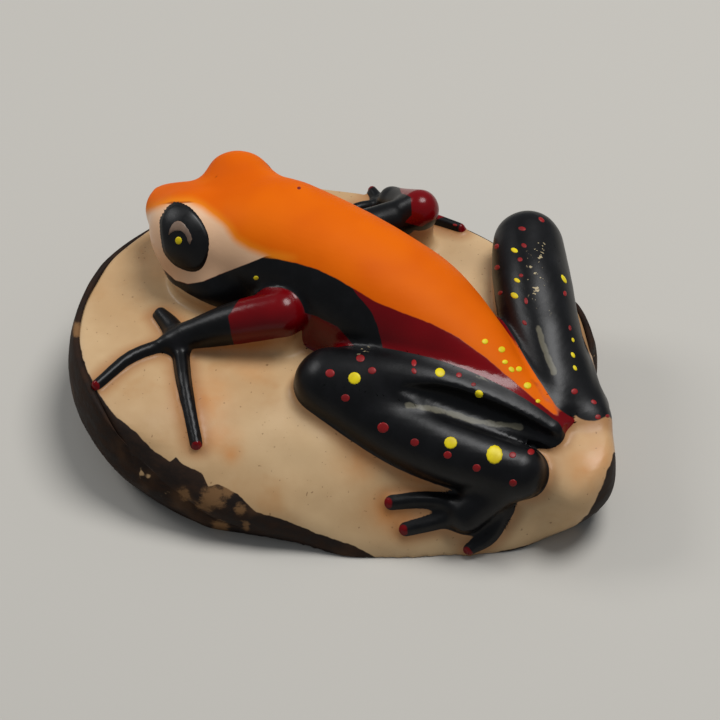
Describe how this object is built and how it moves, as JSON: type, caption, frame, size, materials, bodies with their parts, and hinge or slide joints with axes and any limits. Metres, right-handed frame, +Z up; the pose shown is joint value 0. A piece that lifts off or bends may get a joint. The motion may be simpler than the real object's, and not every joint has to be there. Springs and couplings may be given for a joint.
{
  "type": "carved frog figurine",
  "caption": "Small shelf ornament: a painted poison frog carved in relief on a flat-bottomed vegetable ivory nut, with brown seed coat left on its sides.",
  "frame": {"origin": "on the flat underside, at the middle of the nut, which the part stands on", "axes": "+Z up from the flat underside; the frog's nose points towards -Y and its left side towards +X"},
  "size_m": [0.043, 0.0535, 0.0186],
  "materials": {
    "ivory": "polished vegetable ivory with amber stains",
    "seed_coat": "rough brown seed coat with chips",
    "orange_paint": "satin orange paint on vegetable ivory",
    "red_paint": "glossy deep red paint on vegetable ivory",
    "black_paint": "glossy black paint with coloured dots on vegetable ivory"
  },
  "bodies": {
    "root": {"nut_base": "ivory", "front_husk": "seed_coat", "side_husk": "seed_coat", "tail_husk": "seed_coat", "torso": "orange_paint", "head": "orange_paint", "left_eye": "orange_paint", "right_eye": "orange_paint", "left_forearm": "red_paint", "right_forearm": "red_paint", "left_upper_arm": "black_paint", "left_hand": "black_paint", "left_thigh": "black_paint", "left_shank": "black_paint", "left_foot": "black_paint", "right_upper_arm": "black_paint", "right_hand": "black_paint", "right_thigh": "black_paint", "right_shank": "black_paint", "right_foot": "black_paint"}
  },
  "joints": []
}
